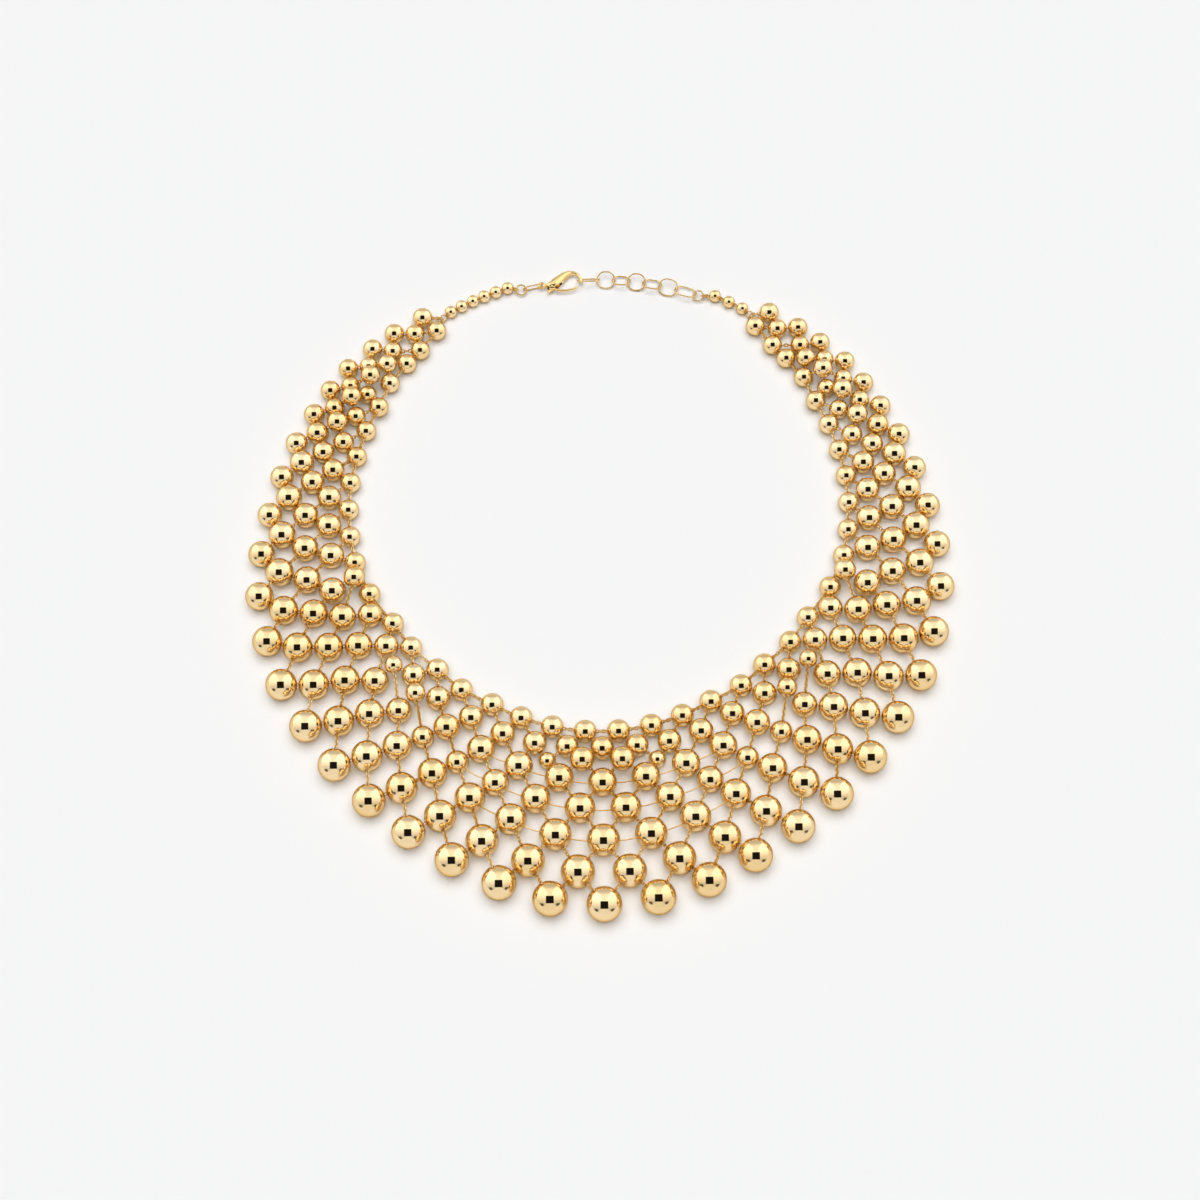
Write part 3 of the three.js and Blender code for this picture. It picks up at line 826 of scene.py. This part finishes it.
# %% A bar through circles
def bar(stations, name, sides=12, levels=2):
    """A closed, smooth bar. Each station is x, y, half width across and half height, in mm."""
    loops = []
    for i, (x, y, width, height) in enumerate(stations):
        before, after = stations[max(i - 1, 0)], stations[min(i + 1, len(stations) - 1)]
        heading = math.atan2(after[1] - before[1], after[0] - before[0])
        deselect()
        bpy.ops.mesh.primitive_circle_add(vertices=sides, radius=1)
        loop = bpy.context.object
        stand = Matrix.Rotation(math.pi / 2, 4, "Y")
        size = Matrix.Diagonal((1, width * MM, height * MM, 1))
        loop.data.transform(Matrix.Translation((x * MM, y * MM, 0))
                            @ Matrix.Rotation(heading, 4, "Z") @ size @ stand)
        loops.append(loop)
    skin = joined(loops, name)
    bpy.ops.object.mode_set(mode="EDIT")
    bpy.ops.mesh.select_mode(type="EDGE")
    bpy.ops.mesh.select_all(action="SELECT")
    bpy.ops.mesh.bridge_edge_loops()
    bpy.ops.mesh.select_all(action="DESELECT")
    bpy.ops.mesh.select_non_manifold()
    bpy.ops.mesh.edge_face_add()
    bpy.ops.mesh.select_all(action="SELECT")
    bpy.ops.mesh.normals_make_consistent(inside=False)
    bpy.ops.object.mode_set(mode="OBJECT")
    smooth = skin.modifiers.new("smooth", "SUBSURF")
    smooth.levels = levels
    bpy.ops.object.modifier_apply(modifier=smooth.name)
    bpy.ops.object.shade_smooth_by_angle(angle=SMOOTH_ANGLE)
    return skin


def cut(obj, cutter):
    only(obj)
    modifier = obj.modifiers.new("cut", "BOOLEAN")
    modifier.operation = "DIFFERENCE"
    modifier.object = cutter
    modifier.solver = "EXACT"
    bpy.ops.object.modifier_apply(modifier=modifier.name)
    bpy.data.objects.remove(cutter)


def pivot_disc(radius, height, chamfer, sides):
    """An upright disc at the lever's pivot, its edges bevelled, in millimetres."""
    deselect()
    bpy.ops.mesh.primitive_cylinder_add(vertices=sides, radius=radius * MM, depth=height * MM)
    disc = bpy.context.object
    if chamfer:
        bpy.ops.object.mode_set(mode="EDIT")
        bpy.ops.mesh.select_mode(type="EDGE")
        bpy.ops.mesh.select_all(action="SELECT")
        bpy.ops.mesh.bevel(offset=chamfer * MM, segments=2)
        bpy.ops.object.mode_set(mode="OBJECT")
    disc.data.transform(Matrix.Translation((PIVOT[0] * MM, PIVOT[1] * MM, 0)))
    return disc


print("bar helper ready")

# %% Clasp body
CLASP_PLACE = -16.8
HOOK = ((0.9, -0.2, 0.5, 0.5), (2.0, -0.8, 1.2, 1.3), (3.4, -0.8, 1.75, 1.52),
        (5.2, 0.4, 1.75, 1.52), (7.2, 1.9, 1.25, 1.25), (9.2, 2.7, 0.88, 0.92),
        (11.0, 2.3, 0.58, 0.62), (12.1, 1.0, 0.44, 0.47), (12.35, -0.5, 0.42, 0.44),
        (12.15, -2.3, 0.45, 0.5))
PIVOT = (2.9, -1.5)
SLOT_CENTRE = Vector((4.8, -2.4, 0))
SLOT_SIZE = Vector((7, 4.4, 1.5))
EYE_RING = 0.95        # radius of the eye's centre line
EYE_WIRE = 0.64

body = bar(HOOK, "clasp_body_skin")
deselect()
bpy.ops.mesh.primitive_cube_add(size=1)
slot_cutter = bpy.context.object
slot_cutter.data.transform(Matrix.Translation(SLOT_CENTRE * MM)
                           @ Matrix.Diagonal((*(SLOT_SIZE * MM), 1)))
cut(body, slot_cutter)

deselect()
bpy.ops.mesh.primitive_torus_add(major_segments=32, minor_segments=12,
                                 major_radius=EYE_RING * MM, minor_radius=EYE_WIRE / 2 * MM)
eye = bpy.context.object
bpy.ops.object.shade_smooth()
pin = pivot_disc(radius=0.3, height=2.4, chamfer=0.06, sides=24)

clasp = joined([body, eye, pin], "clasp_body_smooth")
clasp.data.transform(at_back(CLASP_PLACE))
bpy.ops.object.shade_smooth_by_angle(angle=SMOOTH_ANGLE)
finish_piece(clasp, "clasp_gold", node="clasp_body")
print("clasp body faces:", len(clasp.data.polygons))

# %% [markdown]
# ## Lever
# The lever is a strip on a drilled knuckle. Its long arm closes the hook, and its short tab is
# what the thumb pulls. It turns on the pin, so it is a piece of its own on its own body.

# %% Clasp lever
LEVER = 0.45           # half the strip's thickness
LEVER_BAR = ((3.3, -2.1, 0.5, LEVER), (4.6, -3.1, 0.42, LEVER), (7.0, -3.7, 0.38, LEVER),
             (9.3, -3.6, 0.37, LEVER), (11.0, -2.9, 0.35, LEVER))
LEVER_TAB = ((2.6, -2.0, 0.42, LEVER), (1.6, -2.9, 0.52, LEVER), (1.3, -3.2, 0.38, LEVER))

arm = bar(LEVER_BAR, "lever_arm")
tab = bar(LEVER_TAB, "lever_tab")
knuckle = pivot_disc(radius=1.0, height=2 * LEVER, chamfer=0.1, sides=32)
cut(knuckle, pivot_disc(radius=0.5, height=4, chamfer=0, sides=24))
lever = joined([knuckle, arm, tab], "clasp_lever_smooth")
lever.data.transform(at_back(CLASP_PLACE))
bpy.ops.object.shade_smooth_by_angle(angle=SMOOTH_ANGLE)
finish_piece(lever, "clasp_gold", body="lever", node="clasp_lever")
print("lever faces:", len(lever.data.polygons))

# %% [markdown]
# ## Finish
# The smooth model has to fill the same box as the CAD. The pattern link is no longer needed, so it
# is removed.

# %% Remove the pattern link and finish
bpy.data.objects.remove(small_link)
